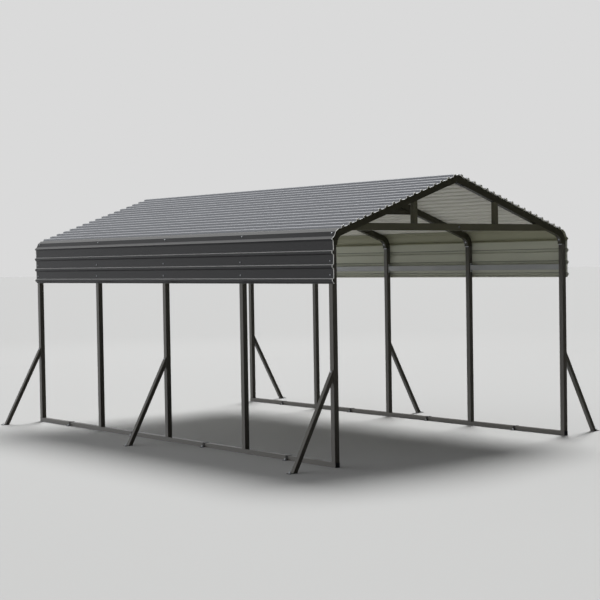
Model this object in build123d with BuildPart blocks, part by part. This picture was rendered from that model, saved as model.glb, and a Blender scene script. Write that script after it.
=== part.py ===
"""Steel carport: five bent frames of square tube, ribbed sheets on the roof and the upper sides.

Millimetres. X runs across the width, Y along the length with the front gable at -Y, Z up.
The origin is on the ground, at the middle of the plan.
"""
from build123d import *
from math import cos, radians, sin, tan
import os

# Bent frames
frame_width = 3630.0        # over the outer faces of the posts
frame_spacing = 1500.0      # centre to centre of the frames, along the length
frame_count = 5
ridge_height = 3012.0       # top of the rafters at the ridge
roof_pitch = 19.0           # degrees
post_tube = 60.0            # square
rafter_depth = 76.0         # seen from the front; as wide as the posts along the length
tube_wall = 1.5
corner_cut = 2.5            # bevel on the outer corners of the tubes
bend_radius = 170.0         # outer radius of the bend at the eave
leg_length = 12.0           # straight end of the rafter above the post

# Rails on the ground
rail_height = 50.0

# Rails between the posts behind the side sheets
eave_rail_height = 66.0
eave_rail_depth = 40.0
eave_rail_rise = 89.0       # its underside above the lower edge of the side sheet
end_plate = 3.0
end_plate_height = 110.0

# Gable tie, struts and the collars of the inner frames
tie_height = 76.0
tie_drop = 607.0            # its underside below the ridge
strut_tube = 56.0
strut_place = 630.0         # from the middle of the gable
collar_tube = 50.0
collar_drop = 372.0         # its underside below the ridge

# Plates folded under the peak of each frame
peak_plate = 4.0
peak_plate_width = 50.0
peak_plate_reach = 130.0    # along each slope

# Braces outside the first frame, the last and those evenly between
braced_frame_count = 3
brace_tube = 48.0
brace_height = 948.0        # where its middle line meets the post
brace_reach = 518.0         # from the post to its middle line on the ground
foot_plate = 4.0
foot_width = 60.0
foot_tab = 46.0             # outside the brace
anchor_hole = 12.0

# Straps that hold the ground rails down, one in each bay
strap_width = 35.0
strap_plate = 3.0
strap_flange = 42.0

# Ribbed sheets
sheet = 1.0                 # thickness
sheet_overhang = 25.0       # past the end frames
side_rib_pitch = 141.0
side_rib_count = 3
side_first_rib = 34.0       # its middle above the lower edge
rib_height = 20.0
rib_base = 45.0
rib_crest = 22.0
rib_skew = 3.0              # the crest of a side rib sits higher than its middle
side_top_flat = 8.0         # between the side sheet and the foot of the eave fold
sheet_lap = 35.0
roof_rib_pitch = 107.6
ridge_rib_offset = 54.0     # from the ridge to the first rib, along the slope
ridge_lap_gap = 8.0         # from the rib of the ridge sheet to the roof sheet under it
roof_flange = 5.0           # least flat past the last rib

# Fold of the sheet round the eave: a crest at its foot, then corners placed by their angle
# above the level of the bend's centre and by their rise outside the bend
eave_foot_rise = 31.7       # from that level to the foot of the fold
eave_crest = 20.0           # out from the side sheet
eave_flank = 18.0           # height of the slanting foot of the fold
eave_low_angle = 26.4
eave_low_rise = 5.3
eave_high_angle = 42.8
eave_high_rise = 14.0
eave_valley_angle = 58.0
eave_valley_rise = 12.0
valley_reach = 13.8         # along the slope, from the end of the bend to the valley
eave_hem = 45.0             # under the roof sheet
hem_clearance = 4.0         # from the roof sheet's edge to the valley

# Worked out from the sizes above
half_width = frame_width / 2
pitch = radians(roof_pitch)
length = frame_spacing * (frame_count - 1) + post_tube
stations = [(index - (frame_count - 1) / 2) * frame_spacing for index in range(frame_count)]
bays = [(front + back) / 2 for front, back in zip(stations, stations[1:])]
sides = {"left": -1, "right": 1}
post_axis = half_width - post_tube / 2
rafter_axis = half_width - rafter_depth / 2
corner_height = ridge_height - half_width * tan(pitch)
bend_base = corner_height - bend_radius * tan((radians(90) - pitch) / 2)
bend_centre = half_width - bend_radius
post_top = bend_base - leg_length
inner_peak = ridge_height - rafter_depth / cos(pitch)
tie_level = ridge_height - tie_drop
collar_level = ridge_height - collar_drop
brace_step = (frame_count - 1) / (braced_frame_count - 1)
brace_frames = [1 + round(index * brace_step) for index in range(braced_frame_count)]
sheet_length = length + 2 * sheet_overhang
fold_foot = bend_base + eave_foot_rise
side_sheet_top = fold_foot - side_top_flat
side_sheet_bottom = fold_foot + rib_base / 2 - side_rib_count * side_rib_pitch - side_first_rib
eave_rail_level = side_sheet_bottom + eave_rail_rise
valley = (bend_centre + bend_radius * sin(pitch)) / cos(pitch) + valley_reach
roof_edge = valley - hem_clearance
ridge_flat = ridge_rib_offset + rib_base / 2
rib_room = roof_edge - roof_flange - ridge_flat
roof_rib_count = 1 + int(rib_room / roof_rib_pitch)

os.makedirs("parts", exist_ok=True)


def write(piece, name):
    """Labels a finished piece and writes it."""
    piece.part.label = name
    export_step(piece.part, f"parts/{name}.step")


def tube_section(width, depth):
    """Section of a square or flat tube with bevelled outer corners."""
    with BuildSketch() as section:
        Rectangle(width, depth)
        chamfer(section.vertices(), corner_cut)
        Rectangle(width - 2 * tube_wall, depth - 2 * tube_wall, mode=Mode.SUBTRACT)
    return section.sketch


def slope_plane(side, height, station=0.0):
    """Plane that lies on a slope of the roof: x runs down the slope, y across it and up."""
    down = (side * cos(pitch), 0, -sin(pitch))
    return Plane(origin=(0, station, height), x_dir=down, z_dir=(0, -side, 0))


def under_slope(side):
    """Plane on the underside of the rafters, facing up and out."""
    return Plane(origin=(0, 0, inner_peak), x_dir=(0, 1, 0), z_dir=(side * sin(pitch), 0, cos(pitch)))


def front_view(side, station):
    """Upright plane across the carport: x runs outward on the given side, y up."""
    return Plane(origin=(0, station, 0), x_dir=(side, 0, 0), z_dir=(0, -side, 0))


def rib(middle, skew=0.0):
    """The four corners of a rib, as distance along the sheet and height above it."""
    foot = rib_base / 2
    crest = rib_crest / 2
    return [
        (middle - foot, 0),
        (middle + skew - crest, rib_height),
        (middle + skew + crest, rib_height),
        (middle + foot, 0),
    ]


# Sections of the tubes
base_rail_section = tube_section(post_tube, rail_height)
post_section = tube_section(post_tube, post_tube)
rafter_section = tube_section(rafter_depth, post_tube)
tie_section = tube_section(post_tube, tie_height)
strut_section = tube_section(strut_tube, strut_tube)
collar_section = tube_section(collar_tube, collar_tube)
eave_rail_section = tube_section(eave_rail_depth, eave_rail_height)
brace_section = tube_section(brace_tube, brace_tube)

# Ground rails
for side_name, side in sides.items():
    with BuildPart() as base_rail:
        with BuildSketch(Plane.XZ) as section:
            with Locations((side * post_axis, rail_height / 2)):
                add(base_rail_section)
        extrude(amount=length / 2, both=True)
    write(base_rail, f"base_rail_{side_name}")

# Posts, which stand on the ground rails
for side_name, side in sides.items():
    for number, station in enumerate(stations, 1):
        with BuildPart() as post:
            with BuildSketch(Plane((side * post_axis, station, rail_height))) as section:
                add(post_section)
            extrude(amount=post_top - rail_height)
        write(post, f"post_{side_name}_{number}")

# Rafters, each bent down to its post and mitred at the ridge
for side_name, side in sides.items():
    for number, station in enumerate(stations, 1):
        with BuildPart() as rafter:
            with BuildLine(front_view(side, station)) as axis:
                ridge_end = -rafter_depth
                axis_peak = ridge_height - rafter_depth / 2 / cos(pitch)
                FilletPolyline(
                    (rafter_axis, post_top),
                    (rafter_axis, axis_peak - rafter_axis * tan(pitch)),
                    (ridge_end, axis_peak - ridge_end * tan(pitch)),
                    radius=bend_radius - rafter_depth / 2,
                )
            with BuildSketch(Plane((side * rafter_axis, station, post_top))) as section:
                add(rafter_section)
            sweep(path=axis.wire())
            split(bisect_by=Plane(origin=(0, 0, 0), z_dir=(side, 0, 0)))
        write(rafter, f"rafter_{side_name}_{number}")

# Folded plates under the peaks
with BuildPart() as peak_brackets:
    with BuildSketch(*[front_view(1, station) for station in stations]) as section:
        with BuildLine() as fold:
            reach = peak_plate_reach * cos(pitch)
            drop = peak_plate_reach * sin(pitch)
            Polyline((-reach, inner_peak - drop), (0, inner_peak), (reach, inner_peak - drop))
            offset(amount=peak_plate, side=Side.RIGHT, kind=Kind.INTERSECTION)
        make_face()
    extrude(amount=peak_plate_width / 2, both=True)
write(peak_brackets, "peak_brackets")

# Gable ties, cut to the underside of the rafters
for name, station in (("front_tie", stations[0]), ("rear_tie", stations[-1])):
    with BuildPart() as tie:
        with BuildSketch(Plane.YZ) as section:
            with Locations((station, tie_level + tie_height / 2)):
                add(tie_section)
        extrude(amount=half_width, both=True)
        split(bisect_by=under_slope(-1), keep=Keep.BOTTOM)
        split(bisect_by=under_slope(1), keep=Keep.BOTTOM)
    write(tie, name)

# Struts between the ties and the rafters
for name, station in (("front_struts", stations[0]), ("rear_struts", stations[-1])):
    with BuildPart() as struts:
        with BuildSketch(Plane.XY.offset(tie_level + tie_height)) as section:
            with Locations((-strut_place, station), (strut_place, station)):
                add(strut_section)
        extrude(amount=ridge_height - tie_level - tie_height)
        split(bisect_by=under_slope(-1), keep=Keep.BOTTOM)
        split(bisect_by=under_slope(1), keep=Keep.BOTTOM)
    write(struts, name)

# Collars high in the inner frames
with BuildPart() as collar_ties:
    with BuildSketch(Plane.YZ) as section:
        with Locations(*[(station, collar_level + collar_tube / 2) for station in stations[1:-1]]):
            add(collar_section)
    extrude(amount=half_width, both=True)
    split(bisect_by=under_slope(-1), keep=Keep.BOTTOM)
    split(bisect_by=under_slope(1), keep=Keep.BOTTOM)
write(collar_ties, "collar_ties")

# Eave rails with end plates, one rail in each bay, flush with the outer faces of the posts
rail_axis = half_width - eave_rail_depth / 2
rail_middle = eave_rail_level + eave_rail_height / 2
bay_length = frame_spacing - post_tube
for side_name, side in sides.items():
    with BuildPart() as eave_rail:
        rail_planes = [Plane.XZ.offset(-bay) for bay in bays]
        with BuildSketch(*rail_planes) as section:
            with Locations((side * rail_axis, rail_middle)):
                add(eave_rail_section)
        extrude(amount=bay_length / 2 - end_plate, both=True)
        end_planes = [Plane.XZ.offset(-bay + end * bay_length / 2) for bay in bays for end in (1, -1)]
        for index, end_face in enumerate(end_planes):
            with BuildSketch(end_face) as plate:
                with Locations((side * rail_axis, rail_middle)):
                    Rectangle(eave_rail_depth, end_plate_height)
            extrude(amount=end_plate if index % 2 else -end_plate)
    write(eave_rail, f"eave_rail_{side_name}")

# Braces, cut flat on the foot plate and upright on the post
lean = (brace_reach**2 + brace_height**2) ** 0.5
half_cut = brace_tube / 2 * lean / brace_height
half_face = brace_tube / 2 * lean / brace_reach
for side_name, side in sides.items():
    for number in brace_frames:
        station = stations[number - 1]
        with BuildPart() as brace:
            foot = Plane(
                origin=(side * (half_width + brace_reach), station, 0),
                x_dir=(0, 1, 0),
                z_dir=(-side * brace_reach, 0, brace_height),
            )
            with BuildSketch(foot.offset(-half_cut)) as section:
                add(brace_section)
            extrude(amount=lean + half_cut + half_face)
            split(bisect_by=Plane.XY.offset(foot_plate), keep=Keep.TOP)
            split(bisect_by=Plane(origin=(side * half_width, 0, 0), z_dir=(side, 0, 0)), keep=Keep.TOP)
        write(brace, f"brace_{side_name}_{number}")

# Foot plates of the braces, each with an anchor hole in its tab
foot_inner = half_width + brace_reach - half_cut
foot_outer = half_width + brace_reach + half_cut + foot_tab
anchor_place = foot_outer - foot_tab / 2
with BuildPart() as brace_feet:
    with BuildSketch() as plates:
        for side in sides.values():
            for number in brace_frames:
                with Locations((side * (foot_inner + foot_outer) / 2, stations[number - 1])):
                    Rectangle(foot_outer - foot_inner, foot_width)
                with Locations((side * anchor_place, stations[number - 1])):
                    Circle(anchor_hole / 2, mode=Mode.SUBTRACT)
    extrude(amount=foot_plate)
write(brace_feet, "brace_feet")

# Straps over the ground rails, with an anchor hole in each flange
strap_reach = post_tube / 2 + strap_plate + strap_flange
strap_hole = strap_reach - strap_flange / 2
with BuildPart() as rail_anchors:
    for side in sides.values():
        with BuildSketch(*[Plane.XZ.offset(-bay) for bay in bays]) as profile:
            with BuildLine() as strap:
                centre = side * post_axis
                Polyline(
                    (centre - strap_reach, 0),
                    (centre - post_tube / 2, 0),
                    (centre - post_tube / 2, rail_height),
                    (centre + post_tube / 2, rail_height),
                    (centre + post_tube / 2, 0),
                    (centre + strap_reach, 0),
                )
                offset(amount=strap_plate, side=Side.LEFT, kind=Kind.INTERSECTION)
            make_face()
        extrude(amount=strap_width / 2, both=True)
    with BuildSketch() as holes:
        for side in sides.values():
            for reach in (-strap_hole, strap_hole):
                with Locations(*[(side * post_axis + reach, bay) for bay in bays]):
                    Circle(anchor_hole / 2)
    extrude(amount=strap_plate, mode=Mode.SUBTRACT)
write(rail_anchors, "rail_anchors")

# Side sheets: level ribs on the outer faces of the posts
for side_name, side in sides.items():
    with BuildPart() as side_sheet:
        with BuildSketch(front_view(side, 0)) as profile:
            with BuildLine() as skin:
                corners = [(half_width, side_sheet_bottom)]
                for index in range(side_rib_count):
                    middle = side_sheet_bottom + side_first_rib + index * side_rib_pitch
                    corners += [(half_width + out, up) for up, out in rib(middle, rib_skew)]
                corners.append((half_width, side_sheet_top))
                Polyline(*corners)
                offset(amount=sheet, side=Side.RIGHT, kind=Kind.INTERSECTION)
            make_face()
        extrude(amount=sheet_length / 2, both=True)
    write(side_sheet, f"side_sheet_{side_name}")


def about_bend(angle, rise):
    """Point outside the bend of the rafter, by its angle and its distance from the bend."""
    reach = bend_radius + rise
    return (bend_centre + reach * cos(radians(angle)), bend_base + reach * sin(radians(angle)))


# Eave sheets: folded round the bend, over the side sheet and under the roof sheet
eave_face = half_width + sheet
hem_end = valley - eave_hem
for side_name, side in sides.items():
    with BuildPart() as eave_sheet:
        with BuildSketch(front_view(side, 0)) as profile:
            with BuildLine() as skin:
                Polyline(
                    (eave_face, side_sheet_top - sheet_lap),
                    (eave_face, fold_foot),
                    (eave_face + eave_crest, fold_foot + eave_flank),
                    about_bend(eave_low_angle, eave_low_rise),
                    about_bend(eave_high_angle, eave_high_rise),
                    about_bend(eave_valley_angle, eave_valley_rise),
                    (valley * cos(pitch), ridge_height - valley * sin(pitch)),
                    (hem_end * cos(pitch), ridge_height - hem_end * sin(pitch)),
                )
                offset(amount=sheet, side=Side.RIGHT, kind=Kind.INTERSECTION)
            make_face()
        extrude(amount=sheet_length / 2, both=True)
    write(eave_sheet, f"eave_sheet_{side_name}")

# Roof sheets: ribs along the carport, the lowest flange on the hem of the eave sheet
for side_name, side in sides.items():
    with BuildPart() as roof_sheet:
        with BuildSketch(slope_plane(side, ridge_height)) as profile:
            with BuildLine() as skin:
                corners = [(ridge_flat + ridge_lap_gap, 0)]
                for index in range(1, roof_rib_count):
                    corners += rib(ridge_rib_offset + index * roof_rib_pitch)
                last_foot = corners.pop()[0]
                corners += [(last_foot, sheet), (roof_edge, sheet)]
                Polyline(*corners)
                offset(amount=sheet, side=Side.LEFT, kind=Kind.INTERSECTION)
            make_face()
        extrude(amount=sheet_length / 2, both=True)
    write(roof_sheet, f"roof_sheet_{side_name}")

# Ridge sheet: folded over the ridge, with one rib on each slope, lapped over the roof sheets
with BuildPart() as ridge_sheet:
    with BuildSketch(slope_plane(1, ridge_height)) as profile:
        with BuildLine() as skin:
            corners = [(-rib_height, 0)] + rib(ridge_rib_offset)[:3]
            Polyline(*corners, (ridge_flat, sheet), (ridge_flat + sheet_lap, sheet))
            offset(amount=sheet, side=Side.LEFT, kind=Kind.INTERSECTION)
        make_face()
    extrude(amount=sheet_length / 2, both=True)
    split(bisect_by=Plane(origin=(0, 0, 0), z_dir=(1, 0, 0)), keep=Keep.TOP)
    mirror(about=Plane.YZ)
write(ridge_sheet, "ridge_sheet")
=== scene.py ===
"""Looks of the steel carport: its finishes, fixings, welds, gussets, plugs and the studio round it.

The file is laid out as a Blender add-on and run as a script. Lengths are in metres, in the frame of
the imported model: X across the width, Y along the length with the front gable at -Y, Z up.
"""

from math import asin, cos, radians, sin

import bpy
import numpy as np
from bpy.props import FloatProperty, FloatVectorProperty, PointerProperty
from mathutils import Matrix, Vector


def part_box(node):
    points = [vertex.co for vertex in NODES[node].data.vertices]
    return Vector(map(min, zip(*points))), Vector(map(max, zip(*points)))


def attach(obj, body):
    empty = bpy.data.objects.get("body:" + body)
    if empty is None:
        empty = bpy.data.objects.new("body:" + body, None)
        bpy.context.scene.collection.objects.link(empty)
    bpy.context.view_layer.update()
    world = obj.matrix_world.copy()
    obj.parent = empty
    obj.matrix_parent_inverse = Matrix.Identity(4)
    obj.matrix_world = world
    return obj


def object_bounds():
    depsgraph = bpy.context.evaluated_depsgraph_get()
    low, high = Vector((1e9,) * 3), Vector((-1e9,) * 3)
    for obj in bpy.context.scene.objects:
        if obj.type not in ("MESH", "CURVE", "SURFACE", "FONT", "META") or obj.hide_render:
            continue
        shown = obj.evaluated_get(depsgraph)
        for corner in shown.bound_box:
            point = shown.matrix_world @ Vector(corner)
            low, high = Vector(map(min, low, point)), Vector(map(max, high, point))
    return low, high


bl_info = {
    "name": "Steel carport looks",
    "version": (1, 0, 0),
    "blender": (4, 5, 0),
    "location": "View3D > Sidebar > Carport",
    "description": "Finishes, fixings and studio of a carport with a ribbed sheet roof",
    "category": "Object",
}

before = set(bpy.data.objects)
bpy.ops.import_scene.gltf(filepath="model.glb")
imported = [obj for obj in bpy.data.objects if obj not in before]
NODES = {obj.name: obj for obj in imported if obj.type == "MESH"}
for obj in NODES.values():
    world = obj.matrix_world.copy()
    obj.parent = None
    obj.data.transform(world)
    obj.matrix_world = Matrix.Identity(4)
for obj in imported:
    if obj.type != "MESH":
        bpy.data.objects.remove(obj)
cad_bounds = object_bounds()
BODY = "root"
SIDES = {"left": -1, "right": 1}
UP = (0.0, 0.0, 1.0)

# Points round a head, a weld bead and a loop
HEAD_COLUMNS = 12
BEAD_COLUMNS = 8
LOOP_COLUMNS = 40

# Heads of the fixings, from the top down to just inside the steel. A ring is its radius as a share
# of half the width across the flats, its height, and 6 where it is a hexagon or 0 where round.
SCREW_HEAD = (
    (0, 0.0078, 0), (0.92, 0.0078, 6), (1, 0.0070, 6), (1, 0.0034, 6),
    (1.75, 0.0028, 0), (1.95, 0.0006, 0), (1.95, -0.0004, 0), (0, -0.0004, 0),
)
BOLT_HEAD = (
    (0, 0.0088, 0), (0.88, 0.0088, 6), (1, 0.0080, 6), (1, 0.0020, 6),
    (1.7, 0.0018, 0), (1.75, 0.0012, 0), (1.75, -0.0004, 0), (0, -0.0004, 0),
)
ANCHOR_HEAD = (
    (0, 0.0215, 0), (0.42, 0.0212, 0), (0.53, 0.0198, 0), (0.53, 0.0115, 0),
    (0.9, 0.0115, 6), (1, 0.0105, 6), (1, 0.0028, 6),
    (1.45, 0.0026, 0), (1.5, 0.0018, 0), (1.5, -0.0005, 0), (0, -0.0005, 0),
)
# The strips of a screw's faces that are its washer, with the number of their material: the two
# lowest between its rings, and the cap underneath
WASHER = ((3, 5, 1), (6, 7, 1))


def linear(code):
    """Linear red, green and blue of an sRGB hex code such as #8f8f80."""
    value = np.array([int(code[start:start + 2], 16) / 255 for start in (1, 3, 5)])
    low = value / 12.92
    high = ((value + 0.055) / 1.055) ** 2.4
    return tuple(float(part) for part in np.where(value <= 0.04045, low, high))


def size(name, default, description):
    """Property that holds a length."""
    return FloatProperty(
        name=name, default=default, description=description, unit="LENGTH", precision=4
    )


def degrees(name, default, description):
    """Property that holds an angle, with its default given in degrees."""
    return FloatProperty(
        name=name, default=radians(default), description=description,
        subtype="ANGLE", unit="ROTATION"
    )


def amount(name, default, description):
    """Property that holds a plain number."""
    return FloatProperty(name=name, default=default, description=description)


def vector(name, default, description, unit="NONE"):
    """Property that holds a place or a direction."""
    return FloatVectorProperty(name=name, default=default, description=description, unit=unit)


def eave_corner(name, angle, rise, which):
    """Property that holds the angle, given in degrees, and the rise of a corner of the eave."""
    return FloatVectorProperty(
        name=name, default=(radians(angle), rise), size=2,
        description=f"Angle about the bend and rise outside it, at the {which} of the steep face"
    )


def colour(name, code, description):
    """Property that holds a colour."""
    return FloatVectorProperty(
        name=name, default=linear(code), description=description,
        subtype="COLOR", min=0.0, max=1.0
    )


class CarportSizes(bpy.types.PropertyGroup):
    """Places on the frame and sizes of the fixings."""

    pitch: degrees("Roof pitch", 19.0, "Slope of the roof")
    ridge: size("Ridge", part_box("rafter_left_1")[1].z, "Top of the rafters at the ridge")
    rafter_depth: size("Rafter depth", 0.076, "Depth of the rafters, square to the slope")
    bend: size("Bend", 0.17, "Outer radius of the rafters' bend at the eave")
    leg: size("Leg", 0.012, "Straight end of a rafter above its post")
    post_top: size("Post top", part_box("post_left_1")[1].z, "Joint of post and rafter")
    half_width: size("Half width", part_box("post_right_1")[1].x, "Middle to outer faces of posts")
    post: size("Post", 0.06, "Side of the square posts")
    sheet: size("Sheet", 0.001, "Thickness of the sheets")
    eave_low: eave_corner("Low corner", 26.4, 0.0053, "foot")
    eave_high: eave_corner("High corner", 42.8, 0.014, "top")
    rib_pitch: size("Roof rib pitch", 0.1076, "Rib to rib, along the slope")
    first_rib: size("First rib", 0.054, "Ridge to the first rib, along the slope")
    rib_base: size("Rib base", 0.045, "Width of a rib at its foot")
    side_rib: size("Side rib", 0.034, "Lower edge of a side sheet to the middle of its first rib")
    side_rib_pitch: size("Side rib pitch", 0.141, "Rib to rib on the side sheets")
    tie_bolt: size("Tie bolt", 0.026, "Middle of the gable to the bolt in the tie")
    brace_reach: size("Brace reach", 0.518, "Post to the middle line of a brace, on the ground")
    brace_height: size("Brace height", 0.948, "Ground to the middle line of a brace, at the post")
    brace_tube: size("Brace tube", 0.048, "Side of the brace's tube")
    foot_tab: size("Foot tab", 0.046, "Tab of a foot plate outside its brace")
    strap_flange: size("Strap flange", 0.042, "Flange of a strap on the ground")
    screw: size("Screw", 0.0095, "Roofing screw, across the flats of its head")
    bolt: size("Bolt", 0.013, "Frame bolt, across the flats of its head")
    anchor: size("Anchor", 0.019, "Ground anchor, across the flats of its nut")
    weld: size("Weld", 0.0028, "Radius of a weld bead")
    gusset: size("Gusset", 0.3, "Corner plate, along the collar")
    gusset_plate: size("Gusset plate", 0.004, "Thickness of a corner plate")


class CarportColours(bpy.types.PropertyGroup):
    """Colours of the finishes."""

    tube: colour("Tubes", "#4a4842", "Powder coat of the frame")
    # Darker copy of the tubes' powder coat: painted shade on the rafters and collars
    bow: colour("Bows", "#38372c", "Powder coat of the rafters and collars")
    # Lighter copy of the tubes' powder coat: painted light on the gable ties and struts
    tie: colour("Ties", "#525142", "Powder coat of the gable ties and struts")
    plate: colour("Plates", "#1a1a19", "Powder coat of the plates, feet and straps")
    dust: colour("Dust", "#6d655c", "Dust on the tubes near the ground")
    rail: colour("Eave rails", "#a2a4a5", "Grey primer on the eave rails")
    # Roof coat painted paler than the side sheets' charcoal: a painted reflection of bright sky
    roof_face_and_reflection: colour("Roof face", "#7e8085", "Coil coat on the roof, paled by the weather")
    sheet_face: colour("Sheet face", "#2f2f30", "Coil coat outside the side and eave sheets")
    # Painted highlight: pale colour laid on the sheets where they face up, on the side ribs and
    # eave facets
    sheet_highlight: colour("Sheet dust", "#c2c2c0", "Dust that settles on sheets where they face up")
    sheet_back: colour("Sheet back", "#bfc1b2", "Backing coat on the inside of the side sheets")
    roof_back: colour("Roof back", "#d8d7cd", "Backing coat on the underside of the roof")
    # Darker copy of the backing coat inside the eave sheets: painted shade in the fold
    eave_back: colour("Eave back", "#9b9b85", "Backing coat on the inside of the eave sheets")
    # Painted shade: dark colour at the top of each side rib's hollow, on the inside
    rib_hollow_shade: colour("Grime", "#3c3d36", "Stain at the top of the side ribs' hollows, inside")
    zinc: colour("Zinc", "#b4b7bb", "Plating of the bolts and screws")
    # Bare cut edge, and a painted highlight along the last 7 mm of each sheet end
    bare_end_and_highlight: colour("Bare ends", "#e6e6e2", "Bare steel at the sheared ends of the sheets")
    rubber: colour("Rubber", "#17181a", "Sealing washers")
    plug: colour("Plug", "#1b1c1e", "Plugs in the ends of the ground rails")
    floor: colour("Floor", "#9d9d9c", "Studio floor")
    backdrop: colour("Backdrop", "#dadada", "Studio wall behind the carport")
    sky: colour("Studio", "#f6f7f9", "Light all round the studio")


class CarportStudio(bpy.types.PropertyGroup):
    """Camera, lights and floor."""

    lens: amount("Lens", 82.914, "Focal length in millimetres")
    azimuth: degrees("Azimuth", 39.5502, "Turn of the view from +Y towards +X")
    down: degrees("Down", 1.5505, "Tilt of the view below level")
    roll: degrees("Roll", -0.9116, "Roll of the camera")
    eye: vector("Eye", (-10.93623, -13.55645, 2.08252), "Place of the camera", "LENGTH")
    front_glow: amount("Front glow", 0.02, "Level light from the front")
    back_glow: amount("Back glow", 1.5, "Level light from the back left")
    back_left: vector("Back left", (-0.6, 0.8, 0.0), "Way to the light from the back left")
    narrow: amount("Narrow", 3.0, "Power that narrows the light from the back left")
    top_glow: amount("Top glow", 0.1, "What the light from overhead adds")
    roof_power: amount("Roof light", 200.0, "Watts of the panel behind the roof")
    roof_panel: size("Roof panel", 14.0, "Width of the panel behind the roof")
    roof_from: vector("Roof panel's place", (8.8, 15.4, 11.0), "Middle of the panel", "LENGTH")
    key_power: amount("Key light", 5.0, "Strength of the wide light from the right")
    key_spread: degrees("Key spread", 25.0, "Angle over which the wide light comes")
    key_from: vector("Key place", (0.5, 0.35, 0.87), "Way to the wide light")
    target: vector("Target", (0.0, 0.0, 2.5), "Point that both lights face", "LENGTH")
    floor_reach: size("Floor reach", 250.0, "Middle of the studio floor to its edges")
    floor_drop: size("Floor drop", 0.0005, "Ground level down to the studio floor")


# Meshes from arrays

def capped_faces(rings, columns):
    """Quads between rings of points, and fans to a pole before the first ring and after the last.

    The points run first pole, rings, last pole. The faces run in strips with one face a column:
    those between the rings, then the fan of the first pole, then the fan of the last."""
    step = np.arange(columns)
    after = (step + 1) % columns
    ring = 1 + columns * np.arange(rings - 1)[:, None]
    quads = np.stack(
        [ring + step, ring + columns + step, ring + columns + after, ring + after], -1
    ).reshape(-1, 4)
    first = np.stack([np.zeros(columns, int), 1 + step, 1 + after], 1)
    last_pole = 1 + rings * columns
    last_ring = last_pole - columns
    last = np.stack([np.full(columns, last_pole), last_ring + after, last_ring + step], 1)
    return [tuple(face) for face in (*quads.tolist(), *first.tolist(), *last.tolist())]


def add_piece(name, parts, materials, bands=()):
    """Joins (points, faces) parts into one smooth mesh that rides on the carport.

    A band (first, last, number) gives the faces from first up to last, in every part, the material
    of that number. All others have the first material."""
    points = np.concatenate([part[0] for part in parts])
    faces, marks, start = [], [], 0
    for part_points, part_faces in parts:
        faces += [tuple(start + corner for corner in face) for face in part_faces]
        start += len(part_points)
        mark = np.zeros(len(part_faces), np.int32)
        for first, last, number in bands:
            mark[first:last] = number
        marks.append(mark)
    mesh = bpy.data.meshes.new(name)
    mesh.from_pydata(points.tolist(), [], faces)
    for material in materials:
        mesh.materials.append(material)
    mesh.polygons.foreach_set("material_index", np.concatenate(marks))
    mesh.polygons.foreach_set("use_smooth", np.ones(len(faces), bool))
    mesh.update()
    piece = bpy.data.objects.new(name, mesh)
    bpy.context.scene.collection.objects.link(piece)
    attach(piece, BODY)
    return piece


def turned(points, axis, place):
    """Points turned so that +Z lies along the axis, and moved to the place."""
    axis = Vector(axis).normalized()
    turn = np.array(Vector(UP).rotation_difference(axis).to_matrix())
    return points @ turn.T + np.array(place)


# Surfaces of two parameters

def head_points(profile, half):
    """Points of a screw or bolt head about Z, poles first and last.

    The radius of each ring is its share of half. On a hexagon the distance from the axis is the
    radius over the cosine of the angle from the middle of its side, and on a round ring the radius.
    The first and last rings of the profile are poles."""
    angle = np.arange(HEAD_COLUMNS) * 2 * np.pi / HEAD_COLUMNS
    off_middle = (angle + np.pi / 6) % (np.pi / 3) - np.pi / 6
    share, height, sides = (np.array(column, float)[:, None] for column in zip(*profile[1:-1]))
    radius = half * share
    reach = np.where(sides == 6, radius / np.cos(off_middle), radius)
    rings = np.stack(
        [reach * np.cos(angle), reach * np.sin(angle), np.broadcast_to(height, reach.shape)], -1
    )
    top, foot = ([[0.0, 0.0, pole[1]]] for pole in (profile[0], profile[-1]))
    return np.concatenate([top, rings.reshape(-1, 3), foot])


def heads(name, profile, across, places, materials, strips=()):
    """One piece of like heads of that width across the flats, at each (place, axis).

    A strip (first, last, number) is a band as in add_piece, counted in strips of faces."""
    points = head_points(profile, across / 2)
    faces = capped_faces(len(profile) - 2, HEAD_COLUMNS)
    parts = [(turned(points, axis, place), faces) for place, axis in places]
    bands = [(first * HEAD_COLUMNS, last * HEAD_COLUMNS, number) for first, last, number in strips]
    add_piece(name, parts, materials, bands)


def weld_bead(start, end, radius):
    """Weld bead from start to end, as a (points, faces) part.

    The bead is round. Its radius swells and shrinks by a seventh with each drop of metal, two radii
    long, and falls as a square root to nothing over the first and last two radii."""
    start, end = np.array(start, float), np.array(end, float)
    run = np.linalg.norm(end - start)
    apart, fewest = radius * 0.7, 6
    rings = max(fewest, int(run / apart))
    along = np.linspace(0, run, rings)
    fade = np.sqrt(np.clip(np.minimum(along, run - along) / (2 * radius), 0, 1))
    swell = 1 + np.sin(along * np.pi / radius) / 7
    reach = (radius * fade * swell)[1:-1, None]
    # A head's rings run down and these run up, so their points go the other way round to face out
    angle = -np.arange(BEAD_COLUMNS) * 2 * np.pi / BEAD_COLUMNS
    level = np.broadcast_to(along[1:-1, None], (rings - 2, BEAD_COLUMNS))
    flat = np.stack([reach * np.cos(angle), reach * np.sin(angle), level], -1).reshape(-1, 3)
    local = np.concatenate([[[0, 0, 0]], flat, [[0, 0, run]]])
    return turned(local, end - start, start), capped_faces(rings - 2, BEAD_COLUMNS)


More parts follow.
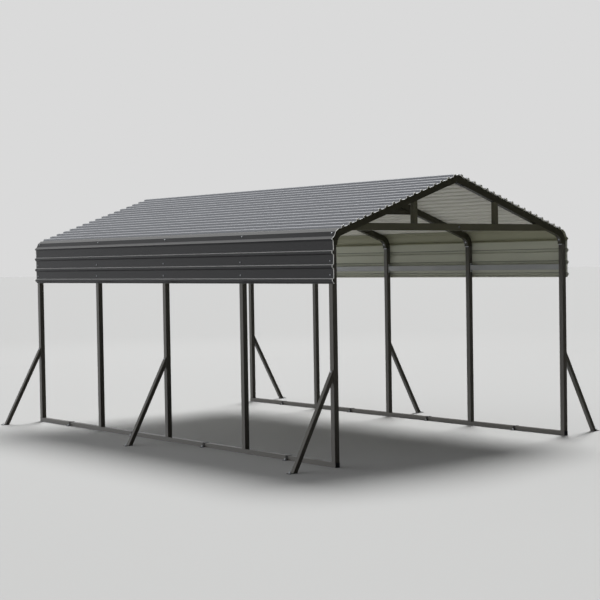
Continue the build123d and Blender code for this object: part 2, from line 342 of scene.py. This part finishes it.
def capped_loop(half_x, half_y, section, power, dome=0.0):
    """Flat cap about Z with the outline of a rounded rectangle, as a (points, faces) part.

    Each ring is a superellipse: the powers of x / half_x and y / half_y add up to one. The section
    gives for each ring, top first, how far it lies out from that outline and up. A pole closes the
    cap at either end, and the dome lifts the first one."""
    angle = np.arange(LOOP_COLUMNS) * 2 * np.pi / LOOP_COLUMNS
    c, s = np.cos(angle), np.sin(angle)
    scale = (np.abs(c) ** power + np.abs(s) ** power) ** (-1 / power)
    out, up = (np.array(column, float)[:, None] for column in zip(*section))
    x = (half_x + out) * scale * c
    y = (half_y + out) * scale * s
    rings = np.stack([x, y, np.broadcast_to(up, x.shape)], -1).reshape(-1, 3)
    top, foot = [[0, 0, section[0][1] + dome]], [[0, 0, section[-1][1]]]
    return np.concatenate([top, rings, foot]), capped_faces(len(section), LOOP_COLUMNS)


# Finishes. The lumps of a noise texture of scale s are about 1 / s metres apart.

def add_node(tree, kind, inputs=None, **settings):
    """Adds a node with these settings. Inputs are linked from sockets or filled in with values."""
    made = tree.nodes.new(kind)
    for name, value in settings.items():
        setattr(made, name, value)
    for name, value in (inputs or {}).items():
        if isinstance(value, bpy.types.NodeSocket):
            tree.links.new(value, made.inputs[name])
        else:
            made.inputs[name].default_value = value
    return made


def new_finish(name, inputs):
    """Material with its node tree, its Principled shader and the Object coordinates."""
    material = bpy.data.materials.new(name)
    material.use_nodes = True
    tree = material.node_tree
    shader = tree.nodes["Principled BSDF"]
    for key, value in inputs.items():
        shader.inputs[key].default_value = value
    place = add_node(tree, "ShaderNodeTexCoord").outputs["Object"]
    return material, tree, shader, place


def opaque(rgb, share=1.0):
    """Colour times a share, with an alpha of one."""
    return (*(part * share for part in rgb), 1.0)


def powder_coat(name, rgb, sheen, dust_and_highlight_share):
    """Polyester powder coat, baked on: an even dark semi-gloss with fine orange peel.

    Light catches the bevelled corners, the tone drifts a little over 0.4 m, and the lowest half
    metre is specked with the dust that has settled there, in specks of 2 cm."""
    material, tree, shader, place = new_finish(name, {
        "Roughness": 0.25, "IOR": 1.5, "Specular IOR Level": sheen,
    })
    cloud = add_node(tree, "ShaderNodeTexNoise", {"Vector": place, "Scale": 2.5, "Detail": 3.0})
    tone = add_node(tree, "ShaderNodeMix", {
        0: cloud.outputs["Fac"], 6: opaque(rgb, 0.86), 7: opaque(rgb, 1.14),
    }, data_type="RGBA")
    height = add_node(tree, "ShaderNodeSeparateXYZ", {"Vector": place})
    low = add_node(tree, "ShaderNodeMapRange", {
        "Value": height.outputs["Z"], "From Min": 0.0, "From Max": 0.45,
        "To Min": dust_and_highlight_share, "To Max": 0.0,
    })
    speck = add_node(tree, "ShaderNodeTexNoise", {"Vector": place, "Scale": 45.0, "Detail": 4.0})
    dust_and_highlight = add_node(tree, "ShaderNodeMath", {
        0: low.outputs["Result"], 1: speck.outputs["Fac"],
    }, operation="MULTIPLY")
    surface = add_node(tree, "ShaderNodeMix", {
        0: dust_and_highlight.outputs["Value"], 6: tone.outputs[2],
        7: opaque(bpy.context.scene.carport_colours.dust),
    }, data_type="RGBA")
    tree.links.new(surface.outputs[2], shader.inputs["Base Color"])
    # Orange peel is 1 to 3 mm and is drawn at 5 mm to show
    peel = add_node(tree, "ShaderNodeTexNoise", {"Vector": place, "Scale": 200.0, "Detail": 2.0})
    bump = add_node(tree, "ShaderNodeBump", {
        "Height": peel.outputs["Fac"], "Strength": 0.12, "Distance": 0.001,
    })
    tree.links.new(bump.outputs["Normal"], shader.inputs["Normal"])
    return material


def coil_coat(name, outward, face, back, sheen, dust_and_highlight_share=0.0, hollow=0.0):
    """Coil-coated steel sheet: charcoal on the face, a pale backing coat behind, bare cut ends with
    a painted highlight.

    The face has a satin sheen with faint streaks along its rolling direction, and the sheet is a
    little uneven, so that reflections waver along the ribs. The last 7 mm before each sheared end
    show as a thin pale line, partly the bare cut edge and partly a painted highlight. Where the
    face looks up it is painted pale, a painted highlight laid on as dust, strongest on the side
    ribs.
    Behind, the top of each rib's hollow is painted dark: painted shade."""
    colours = bpy.context.scene.carport_colours
    material, tree, shader, place = new_finish(name, {
        "Roughness": 0.4, "IOR": 1.5, "Specular IOR Level": sheen,
    })
    # Faces that look outward are the face of the sheet, but for those within a degree of edge-on
    normal = add_node(tree, "ShaderNodeNewGeometry").outputs["True Normal"]
    facing = add_node(tree, "ShaderNodeVectorMath", {
        0: normal, 1: outward,
    }, operation="DOT_PRODUCT")
    outside = add_node(tree, "ShaderNodeMath", {
        0: facing.outputs["Value"], 1: 0.02,
    }, operation="GREATER_THAN")
    # Streaks of the rolls, 0.2 m wide and 2.7 m long
    rolled = add_node(tree, "ShaderNodeMapping", {"Vector": place, "Scale": (3.0, 0.25, 3.0)})
    streak = add_node(tree, "ShaderNodeTexNoise", {
        "Vector": rolled.outputs["Vector"], "Scale": 1.5, "Detail": 3.0,
    })
    face_tone, back_tone = (
        add_node(tree, "ShaderNodeMix", {
            0: streak.outputs["Fac"], 6: opaque(rgb, 0.9), 7: opaque(rgb, 1.1),
        }, data_type="RGBA").outputs[2]
        for rgb in (face, back)
    )
    # Pale paint where the face looks up, a painted highlight laid on as dust: gone where the face
    # is 52 degrees steep and strongest below 23 degrees
    way = add_node(tree, "ShaderNodeSeparateXYZ", {"Vector": normal})
    up_highlight = add_node(tree, "ShaderNodeMapRange", {
        "Value": way.outputs["Z"], "From Min": 0.62, "From Max": 0.92,
        "To Min": 0.0, "To Max": dust_and_highlight_share,
    })
    dust_and_highlight = add_node(tree, "ShaderNodeMix", {
        0: up_highlight.outputs["Result"], 6: face_tone, 7: opaque(colours.sheet_highlight),
    }, data_type="RGBA")
    # Painted shade at the top of each rib's hollow, behind: gone where the back is 57 degrees steep
    # and darkest below 37 degrees
    hollow_shade_mask = add_node(tree, "ShaderNodeMapRange", {
        "Value": way.outputs["Z"], "From Min": -0.8, "From Max": -0.55,
        "To Min": hollow, "To Max": 0.0,
    })
    shaded_back = add_node(tree, "ShaderNodeMix", {
        0: hollow_shade_mask.outputs["Result"], 6: back_tone, 7: opaque(colours.rib_hollow_shade),
    }, data_type="RGBA")
    coats = add_node(tree, "ShaderNodeMix", {
        0: outside.outputs["Value"], 6: shaded_back.outputs[2], 7: dust_and_highlight.outputs[2],
    }, data_type="RGBA")
    # The last 7 mm before each sheared end are painted pale: the bare cut edge, widened into a
    # painted highlight
    pale_end = 0.007
    length = add_node(tree, "ShaderNodeSeparateXYZ", {"Vector": place})
    from_middle = add_node(tree, "ShaderNodeMath", {0: length.outputs["Y"]}, operation="ABSOLUTE")
    end = add_node(tree, "ShaderNodeMath", {
        0: from_middle.outputs["Value"], 1: cad_bounds[1][1] - pale_end,
    }, operation="GREATER_THAN")
    surface = add_node(tree, "ShaderNodeMix", {
        0: end.outputs["Value"], 6: coats.outputs[2], 7: opaque(colours.bare_end_and_highlight),
    }, data_type="RGBA")
    tree.links.new(surface.outputs[2], shader.inputs["Base Color"])
    # The unevenness of thin sheet, 0.2 mm over a quarter of a metre across it and 0.7 m along it
    waver = add_node(tree, "ShaderNodeMapping", {"Vector": place, "Scale": (4.0, 1.4, 4.0)})
    uneven = add_node(tree, "ShaderNodeTexNoise", {
        "Vector": waver.outputs["Vector"], "Scale": 1.0, "Detail": 0.0,
    })
    bump = add_node(tree, "ShaderNodeBump", {
        "Height": uneven.outputs["Fac"], "Strength": 0.1, "Distance": 0.002,
    })
    tree.links.new(bump.outputs["Normal"], shader.inputs["Normal"])
    return material


def zinc_plate(name, rgb):
    """Zinc-plated steel: bright, with the slight blotches of the plating bath, 6 mm wide."""
    material, tree, shader, place = new_finish(name, {"Metallic": 1.0})
    blotch = add_node(tree, "ShaderNodeTexNoise", {"Vector": place, "Scale": 160.0, "Detail": 3.0})
    tone = add_node(tree, "ShaderNodeMix", {
        0: blotch.outputs["Fac"], 6: opaque(rgb, 0.8), 7: opaque(rgb),
    }, data_type="RGBA")
    tree.links.new(tone.outputs[2], shader.inputs["Base Color"])
    dull = add_node(tree, "ShaderNodeMapRange", {
        "Value": blotch.outputs["Fac"], "To Min": 0.22, "To Max": 0.42,
    })
    tree.links.new(dull.outputs["Result"], shader.inputs["Roughness"])
    return material


def moulded_plastic(name, rgb, roughness):
    """Moulded polyethylene or rubber: dark, matt, with a grain that is drawn at 2.5 mm to show."""
    material, tree, shader, place = new_finish(name, {"Roughness": roughness, "IOR": 1.5})
    grain = add_node(tree, "ShaderNodeTexNoise", {"Vector": place, "Scale": 400.0, "Detail": 2.0})
    tone = add_node(tree, "ShaderNodeMix", {
        0: grain.outputs["Fac"], 6: opaque(rgb, 0.8), 7: opaque(rgb, 1.2),
    }, data_type="RGBA")
    tree.links.new(tone.outputs[2], shader.inputs["Base Color"])
    bump = add_node(tree, "ShaderNodeBump", {
        "Height": grain.outputs["Fac"], "Strength": 0.2, "Distance": 0.0005,
    })
    tree.links.new(bump.outputs["Normal"], shader.inputs["Normal"])
    return material


# The maker and the colour of each finish, and what else its maker needs: the sheen and the settled
# dust of a powder coat, the roughness of a plastic
FINISHES = {
    "powder_coated_tube": (powder_coat, "tube", 0.32, 0.15),
    # The bows' coat is the tubes' coat painted darker: painted shade
    "powder_coated_bow": (powder_coat, "bow", 0.2, 0.0),
    # The ties' coat is the tubes' coat painted lighter: painted light
    "powder_coated_tie": (powder_coat, "tie", 0.32, 0.0),
    "powder_coated_plate": (powder_coat, "plate", 0.1, 0.04),
    "primed_tube": (powder_coat, "rail", 0.3, 0.0),
    "zinc_plated_steel": (zinc_plate, "zinc"),
    "sealing_rubber": (moulded_plastic, "rubber", 0.7),
    "polyethylene_plug": (moulded_plastic, "plug", 0.5),
}


def finish(name):
    """The finish of that name, made on its first use."""
    maker, shade, *settings = FINISHES[name]
    rgb = getattr(bpy.context.scene.carport_colours, shade)
    return bpy.data.materials.get(name) or maker(name, rgb, *settings)


def coat_node(node, material):
    """Gives a CAD node one finish in all its slots."""
    mesh = NODES[node].data
    mesh.materials.clear()
    mesh.materials.append(material)


# Places on the frame

def stations():
    """Middle of each frame along the length, front first."""
    boxes = [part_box(node) for node in sorted(NODES) if node.startswith("post_left_")]
    return [(low.y + high.y) / 2 for low, high in boxes]


def bays():
    """Middle of each bay along the length."""
    middles = stations()
    return [(front + back) / 2 for front, back in zip(middles, middles[1:])]


def on_slope(side, distance, rise):
    """Point (x, z) of a roof slope, by its distance from the ridge and rise above the rafters."""
    sizes = bpy.context.scene.carport_sizes
    x = distance * cos(sizes.pitch) + rise * sin(sizes.pitch)
    return side * x, sizes.ridge - distance * sin(sizes.pitch) + rise * cos(sizes.pitch)


def about_bend(angle, radius):
    """Point (x, z) at that angle above the level of the bend's centre, on the right side."""
    sizes = bpy.context.scene.carport_sizes
    return (sizes.half_width - sizes.bend + radius * cos(angle),
            sizes.post_top + sizes.leg + radius * sin(angle))


def roof_screw_places(side):
    """Screws of a slope: one by the edge of the ridge sheet, then one on every second flat."""
    sizes = bpy.context.scene.carport_sizes
    beyond_rib, flats = 0.0175, 16
    # The ridge sheet lies on the roof sheet there
    rows = [(sizes.first_rib + sizes.rib_base / 2 + beyond_rib, 2 * sizes.sheet)]
    rows += [
        (sizes.first_rib + (flat + 0.5) * sizes.rib_pitch, sizes.sheet)
        for flat in range(1, flats, 2)
    ]
    axis = (side * sin(sizes.pitch), 0.0, cos(sizes.pitch))
    spots = [on_slope(side, distance, rise) for distance, rise in rows]
    return [((x, station, z), axis) for station in stations() for x, z in spots]


def side_screw_places(name, side):
    """Screws of a side sheet: one above each of its two lower ribs, in every post."""
    sizes = bpy.context.scene.carport_sizes
    above_rib = 0.035
    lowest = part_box(f"side_sheet_{name}")[0].z + sizes.side_rib + sizes.rib_base / 2 + above_rib
    face = side * (sizes.half_width + sizes.sheet)
    return [
        ((face, station, lowest + row * sizes.side_rib_pitch), (side, 0, 0))
        for station in stations() for row in (0, 1)
    ]


def eave_screw_places(side):
    """Screws of an eave sheet: one up through its steep face at every frame."""
    sizes = bpy.context.scene.carport_sizes
    share_up = 0.65
    low, high = (
        np.array(about_bend(angle, sizes.bend + rise))
        for angle, rise in (sizes.eave_low, sizes.eave_high)
    )
    run, rise = (high - low) / np.linalg.norm(high - low)
    x, z = low + (high - low) * share_up + sizes.sheet * np.array([rise, -run])
    return [((side * x, station, z), (side * rise, 0, -run)) for station in stations()]


def joint_bolt_places():
    """Bolts of the joints of posts and rafters, on the inside of the bend."""
    sizes = bpy.context.scene.carport_sizes
    above_post = 0.05
    inner = sizes.bend - sizes.rafter_depth
    turn = asin((above_post - sizes.leg) / inner)
    x, z = about_bend(turn, inner)
    return [
        ((side * x, station, z), (-side * cos(turn), 0, -sin(turn)))
        for side in SIDES.values() for station in stations()
    ]


def tie_bolt_places():
    """Bolts in the outer faces of the gable ties."""
    sizes = bpy.context.scene.carport_sizes
    places = []
    for node, facing in (("front_tie", -1), ("rear_tie", 1)):
        low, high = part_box(node)
        face = low.y if facing < 0 else high.y
        places.append(((-facing * sizes.tie_bolt, face, (low.z + high.z) / 2), (0, facing, 0)))
    return places


def brace_bolt_places():
    """Bolts at the heads of the braces, in their upper outer faces."""
    sizes = bpy.context.scene.carport_sizes
    level = 0.975
    lean = Vector((sizes.brace_reach, sizes.brace_height)).length
    rise, run = sizes.brace_reach / lean, sizes.brace_height / lean
    out = (sizes.brace_height - level) * sizes.brace_reach / sizes.brace_height
    x = sizes.half_width + out + sizes.brace_tube / 2 / run
    places = []
    for node in NODES:
        if node.startswith("brace_") and node[-1].isdigit():
            low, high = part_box(node)
            side = 1 if low.x > 0 else -1
            places.append(((side * x, (low.y + high.y) / 2, level), (side * run, 0, rise)))
    return places


# Studio

def lay_floor(scene):
    """Wide pale floor just under the carport."""
    reach, drop = scene.carport_studio.floor_reach, scene.carport_studio.floor_drop
    corners = [(-reach, -reach), (reach, -reach), (reach, reach), (-reach, reach)]
    mesh = bpy.data.meshes.new("studio_floor")
    mesh.from_pydata([(x, y, -drop) for x, y in corners], [], [(0, 1, 2, 3)])
    floor = bpy.data.objects.new("studio_floor", mesh)
    scene.collection.objects.link(floor)
    paint = new_finish("studio_floor", {
        "Base Color": opaque(scene.carport_colours.floor), "Roughness": 0.9,
    })[0]
    mesh.materials.append(paint)
    # The steel mirrors the walls, dark at the front and bright at the back left, not the floor
    floor.visible_glossy = False


def hang_lights(scene):
    """Round panel behind the roof and wide key light from the right, which face the target."""
    studio = scene.carport_studio
    panel = bpy.data.lights.new("roof_light", "AREA")
    panel.shape, panel.size, panel.energy = "DISK", studio.roof_panel, studio.roof_power
    key = bpy.data.lights.new("key_light", "SUN")
    key.angle, key.energy = studio.key_spread, studio.key_power
    target, key_distance = Vector(studio.target), 12
    key_place = target + key_distance * Vector(studio.key_from)
    for lamp, place in ((panel, Vector(studio.roof_from)), (key, key_place)):
        lamp_object = bpy.data.objects.new(lamp.name, lamp)
        lamp_object.location = place
        lamp_object.rotation_euler = (target - place).to_track_quat("-Z", "Y").to_euler()
        scene.collection.objects.link(lamp_object)


def light_walls(scene):
    """World that is one pale colour to the eye and lights the carport mostly from the back left.

    Its strength follows a power of half the sum of one and the cosine of the angle from the back
    left, from dim at the front to bright at the back, and the height of the way adds a little."""
    colours, studio = scene.carport_colours, scene.carport_studio
    world = bpy.data.worlds.new("studio")
    world.use_nodes = True
    tree = world.node_tree
    way = add_node(tree, "ShaderNodeTexCoord").outputs["Generated"]
    across = add_node(tree, "ShaderNodeVectorMath", {
        0: way, 1: studio.back_left,
    }, operation="DOT_PRODUCT")
    share = add_node(tree, "ShaderNodeMapRange", {
        "Value": across.outputs["Value"], "From Min": -1.0,
    })
    lobe = add_node(tree, "ShaderNodeMath", {
        0: share.outputs["Result"], 1: studio.narrow,
    }, operation="POWER")
    level = add_node(tree, "ShaderNodeMapRange", {
        "Value": lobe.outputs["Value"], "To Min": studio.front_glow, "To Max": studio.back_glow,
    })
    height = add_node(tree, "ShaderNodeSeparateXYZ", {"Vector": way})
    above = add_node(tree, "ShaderNodeMapRange", {
        "Value": height.outputs["Z"], "To Min": 0.0, "To Max": studio.top_glow,
    })
    glow = add_node(tree, "ShaderNodeMath", {
        0: level.outputs["Result"], 1: above.outputs["Result"],
    })
    light = add_node(tree, "ShaderNodeBackground", {
        "Color": opaque(colours.sky), "Strength": glow.outputs["Value"],
    })
    wall = tree.nodes["Background"]
    wall.inputs["Color"].default_value = opaque(colours.backdrop)
    seen = add_node(tree, "ShaderNodeLightPath").outputs["Is Camera Ray"]
    mixed = add_node(tree, "ShaderNodeMixShader", {
        0: seen, 1: light.outputs["Background"], 2: wall.outputs["Background"],
    })
    tree.links.new(mixed.outputs["Shader"], tree.nodes["World Output"].inputs["Surface"])
    scene.world = world


def place_camera(scene):
    """Camera at the photograph's angle."""
    studio = scene.carport_studio
    optics = bpy.data.cameras.new("camera")
    optics.lens, optics.sensor_width, optics.clip_end = studio.lens, 36.0, 600.0
    camera = bpy.data.objects.new("camera", optics)
    pan = Matrix.Rotation(-studio.azimuth, 4, "Z")
    aim = pan @ Matrix.Rotation(radians(90) - studio.down, 4, "X")
    roll = Matrix.Rotation(studio.roll, 4, "Z")
    camera.matrix_world = Matrix.Translation(studio.eye) @ aim @ roll
    scene.collection.objects.link(camera)
    scene.camera = camera


# Operators

class CARPORT_OT_tubes(bpy.types.Operator):
    """Powder coat on the tubes, plates and straps of the frame"""

    bl_idname = "carport.tubes"
    bl_label = "Finish the frame"

    def execute(self, context):
        for node in NODES:
            if node.startswith("eave_rail"):
                coat_node(node, finish("primed_tube"))
            elif node in ("peak_brackets", "brace_feet", "rail_anchors"):
                coat_node(node, finish("powder_coated_plate"))
            # Rafters and collars take the darker copy of the tube coat, painted shade
            elif node.startswith(("rafter", "collar")):
                coat_node(node, finish("powder_coated_bow"))
            # Ties and struts take the lighter copy of the tube coat, painted light
            elif node.endswith(("_tie", "_struts")):
                coat_node(node, finish("powder_coated_tie"))
            elif "sheet" not in node:
                coat_node(node, finish("powder_coated_tube"))
        return {"FINISHED"}


class CARPORT_OT_sheets(bpy.types.Operator):
    """Coil coat on the roof, ridge, eave and side sheets"""

    bl_idname = "carport.sheets"
    bl_label = "Finish the sheets"

    def execute(self, context):
        colours = context.scene.carport_colours
        # The roof's paler coat is a painted reflection of bright sky
        roof = coil_coat("coil_coated_roof", UP, colours.roof_face_and_reflection, colours.roof_back, sheen=0.42)
        coat_node("ridge_sheet", roof)
        # The painted highlight on up-facing faces is full on the left side and about a third as
        # strong on the right
        for (name, side), dust_and_highlight in zip(SIDES.items(), (1.0, 0.35)):
            coat_node(f"roof_sheet_{name}", roof)
            # Inside, the top of each side rib's hollow is painted dark, painted shade
            coat_node(f"side_sheet_{name}", coil_coat(
                f"coil_coated_side_{name}", (side, 0.0, 0.0), colours.sheet_face,
                colours.sheet_back, sheen=0.15, dust_and_highlight_share=dust_and_highlight, hollow=0.65,
            ))
            # Every face of the folded sheet that shows outside leans towards this direction
            fold = (side * 0.85, 0.0, 0.53)
            # The eave's up-facing facets get about a third of the painted highlight
            coat_node(f"eave_sheet_{name}", coil_coat(
                f"coil_coated_eave_{name}", fold, colours.sheet_face,
                # The eave's darker backing coat is painted shade inside the fold
                colours.eave_back, sheen=0.15, dust_and_highlight_share=0.32,
            ))
        return {"FINISHED"}


class CARPORT_OT_sheet_screws(bpy.types.Operator):
    """Roofing screws with sealing washers, through the sheets into the frames"""

    bl_idname = "carport.sheet_screws"
    bl_label = "Add the sheet screws"

    def execute(self, context):
        across = context.scene.carport_sizes.screw
        materials = [finish("zinc_plated_steel"), finish("sealing_rubber")]
        for name, side in SIDES.items():
            for part, places in (
                ("roof", roof_screw_places(side)),
                ("side", side_screw_places(name, side)),
                ("eave", eave_screw_places(side)),
            ):
                heads(f"{part}_screws_{name}", SCREW_HEAD, across, places, materials, WASHER)
        return {"FINISHED"}


class CARPORT_OT_frame_bolts(bpy.types.Operator):
    """Bolts of the posts, gable ties and braces"""

    bl_idname = "carport.frame_bolts"
    bl_label = "Add the frame bolts"

    def execute(self, context):
        across = context.scene.carport_sizes.bolt
        for name, places in (
            ("post_bolts", joint_bolt_places()),
            ("tie_bolts", tie_bolt_places()),
            ("brace_bolts", brace_bolt_places()),
        ):
            heads(name, BOLT_HEAD, across, places, [finish("zinc_plated_steel")])
        return {"FINISHED"}


class CARPORT_OT_anchors(bpy.types.Operator):
    """Anchors through the foot plates of the braces and the straps over the ground rails"""

    bl_idname = "carport.anchors"
    bl_label = "Add the ground anchors"

    def execute(self, context):
        sizes = context.scene.carport_sizes
        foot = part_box("brace_feet")[1]
        foot_x = foot.x - sizes.foot_tab / 2
        # Every second frame is braced
        feet = [
            ((side * foot_x, station, foot.z), UP)
            for side in SIDES.values() for station in stations()[::2]
        ]
        strap_plate = 0.003
        post_axis = sizes.half_width - sizes.post / 2
        off_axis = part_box("rail_anchors")[1].x - sizes.strap_flange / 2 - post_axis
        straps = [
            ((side * (post_axis + way * off_axis), bay, strap_plate), UP)
            for side in SIDES.values() for bay in bays() for way in (-1, 1)
        ]
        for name, places in (("foot_anchors", feet), ("strap_anchors", straps)):
            heads(name, ANCHOR_HEAD, sizes.anchor, places, [finish("zinc_plated_steel")])
        return {"FINISHED"}


class CARPORT_OT_welds(bpy.types.Operator):
    """Weld beads at the ridge, under the gable struts and at the feet of the posts"""

    bl_idname = "carport.welds"
    bl_label = "Add the welds"

    def execute(self, context):
        sizes = context.scene.carport_sizes
        half_post = sizes.post / 2
        faces = [station + way * half_post for station in stations() for way in (-1, 1)]
        inner_peak = sizes.ridge - sizes.rafter_depth / cos(sizes.pitch)
        runs = [((0, face, inner_peak), (0, face, sizes.ridge)) for face in faces]
        for node in ("front_struts", "rear_struts"):
            low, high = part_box(node)
            strut = high.y - low.y
            for side in SIDES.values():
                outer, inner = side * high.x, side * (high.x - strut)
                runs += [((inner, y, low.z), (outer, y, low.z)) for y in (low.y, high.y)]
                runs += [((x, low.y, low.z), (x, high.y, low.z)) for x in (inner, outer)]
        # The outer faces of the end posts are flush with the ends of the rails and have no bead
        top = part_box("base_rail_left")[1].z
        for side in SIDES.values():
            inner, outer = side * (sizes.half_width - sizes.post), side * sizes.half_width
            runs += [((inner, face, top), (outer, face, top)) for face in faces[1:-1]]
        parts = [weld_bead(start, end, sizes.weld) for start, end in runs]
        add_piece("weld_beads", parts, [finish("powder_coated_tube")])
        return {"FINISHED"}


class CARPORT_OT_gussets(bpy.types.Operator):
    """Plates in the corners between the collars and the rafters"""

    bl_idname = "carport.gussets"
    bl_label = "Add the gussets"

    def execute(self, context):
        sizes = context.scene.carport_sizes
        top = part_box("collar_ties")[1].z
        # Slope distance at which the rafters' underside comes down to the collar's top
        meet = (sizes.ridge - sizes.rafter_depth * cos(sizes.pitch) - top) / sin(sizes.pitch)
        parts = []
        for side in SIDES.values():
            corner = on_slope(side, meet, -sizes.rafter_depth)
            upper = on_slope(side, meet - sizes.gusset / cos(sizes.pitch), -sizes.rafter_depth)
            # The outline runs the other way round on the left, so that its faces look out too
            outline = np.array([corner, upper, (upper[0], top)][::side])
            middle = outline.mean(axis=0)
            for station in stations()[1:-1]:
                layers = [
                    [(x, station + way * sizes.gusset_plate / 2, z) for x, z in points]
                    for way, points in ((-1, [middle]), (-1, outline), (1, outline), (1, [middle]))
                ]
                parts.append((np.concatenate(layers), capped_faces(2, len(outline))))
        # The gussets take the rafters' darker copy of the tube coat, painted shade
        plates = add_piece("collar_gussets", parts, [finish("powder_coated_bow")])
        crisp = radians(40)
        plates.data.set_sharp_from_angle(angle=crisp)
        return {"FINISHED"}


class CARPORT_OT_lips(bpy.types.Operator):
    """Bare lip on the inner face of each post, where the rafter goes in"""

    bl_idname = "carport.lips"
    bl_label = "Add the post lips"

    def execute(self, context):
        sizes = context.scene.carport_sizes
        stands_out, short_of_corner = 0.0012, 0.003
        section = ((-0.0004, 0.0), (0.0, -0.001), (0.0, -0.007), (-0.0004, -0.008))
        points, faces = capped_loop(
            stands_out, sizes.post / 2 - short_of_corner, section, power=4.0
        )
        parts = [
            (points + (side * (sizes.half_width - sizes.post), station, sizes.post_top), faces)
            for side in SIDES.values() for station in stations()
        ]
        add_piece("post_lips", parts, [finish("zinc_plated_steel")])
        return {"FINISHED"}


class CARPORT_OT_plugs(bpy.types.Operator):
    """Plastic plugs in the ends of the ground rails"""

    bl_idname = "carport.plugs"
    bl_label = "Add the rail plugs"

    def execute(self, context):
        low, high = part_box("base_rail_right")
        half_x, half_z = (high.x - low.x) / 2, (high.z - low.z) / 2
        # Flat face, rounded edge, and a back that just enters the end of the rail
        inwards, face, back = -half_z * 0.9, 0.004, -0.0002
        section = (
            (inwards, face), (-0.004, face), (-0.001, 0.003), (0.0, 0.001),
            (0.0, back), (-0.004, back), (inwards, back),
        )
        points, faces = capped_loop(half_x, half_z, section, power=10.0, dome=0.0002)
        parts = []
        for name in SIDES:
            low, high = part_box(f"base_rail_{name}")
            for end, facing in ((low.y, -1), (high.y, 1)):
                # Local up becomes the way that the plug faces, and local y stays upright
                turn = np.array([[-facing, 0, 0], [0, 0, facing], [0, 1, 0]], float)
                middle = ((low.x + high.x) / 2, end, (low.z + high.z) / 2)
                parts.append((points @ turn.T + np.array(middle), faces))
        add_piece("rail_plugs", parts, [finish("polyethylene_plug")])
        return {"FINISHED"}


class CARPORT_OT_stage(bpy.types.Operator):
    """Pale floor, soft lights and the camera at the photograph's angle"""

    bl_idname = "carport.stage"
    bl_label = "Set the stage"

    def execute(self, context):
        lay_floor(context.scene)
        hang_lights(context.scene)
        light_walls(context.scene)
        context.scene.view_settings.view_transform = "Standard"
        place_camera(context.scene)
        return {"FINISHED"}


class CARPORT_PT_panel(bpy.types.Panel):
    """Lists the carport's operators"""

    bl_idname = "CARPORT_PT_panel"
    bl_label = "Carport"
    bl_space_type = "VIEW_3D"
    bl_region_type = "UI"
    bl_category = "Carport"

    def draw(self, context):
        for operator in OPERATORS:
            self.layout.operator(operator.bl_idname)


OPERATORS = (
    CARPORT_OT_tubes, CARPORT_OT_sheets, CARPORT_OT_sheet_screws, CARPORT_OT_frame_bolts,
    CARPORT_OT_anchors, CARPORT_OT_welds, CARPORT_OT_gussets, CARPORT_OT_lips, CARPORT_OT_plugs,
    CARPORT_OT_stage,
)
GROUPS = {
    "carport_sizes": CarportSizes,
    "carport_colours": CarportColours,
    "carport_studio": CarportStudio,
}


def register():
    """Registers the classes and hangs the property groups on the scene."""
    for item in (*GROUPS.values(), *OPERATORS, CARPORT_PT_panel):
        bpy.utils.register_class(item)
    for name, group in GROUPS.items():
        setattr(bpy.types.Scene, name, PointerProperty(type=group))


def unregister():
    """Takes the property groups and classes away again."""
    for name in GROUPS:
        delattr(bpy.types.Scene, name)
    for item in (CARPORT_PT_panel, *reversed(OPERATORS), *GROUPS.values()):
        bpy.utils.unregister_class(item)


def main():
    """Makes the pieces in order."""
    register()
    for operator in OPERATORS:
        group, name = operator.bl_idname.split(".")
        getattr(getattr(bpy.ops, group), name)()


if __name__ == "__main__":
    main()
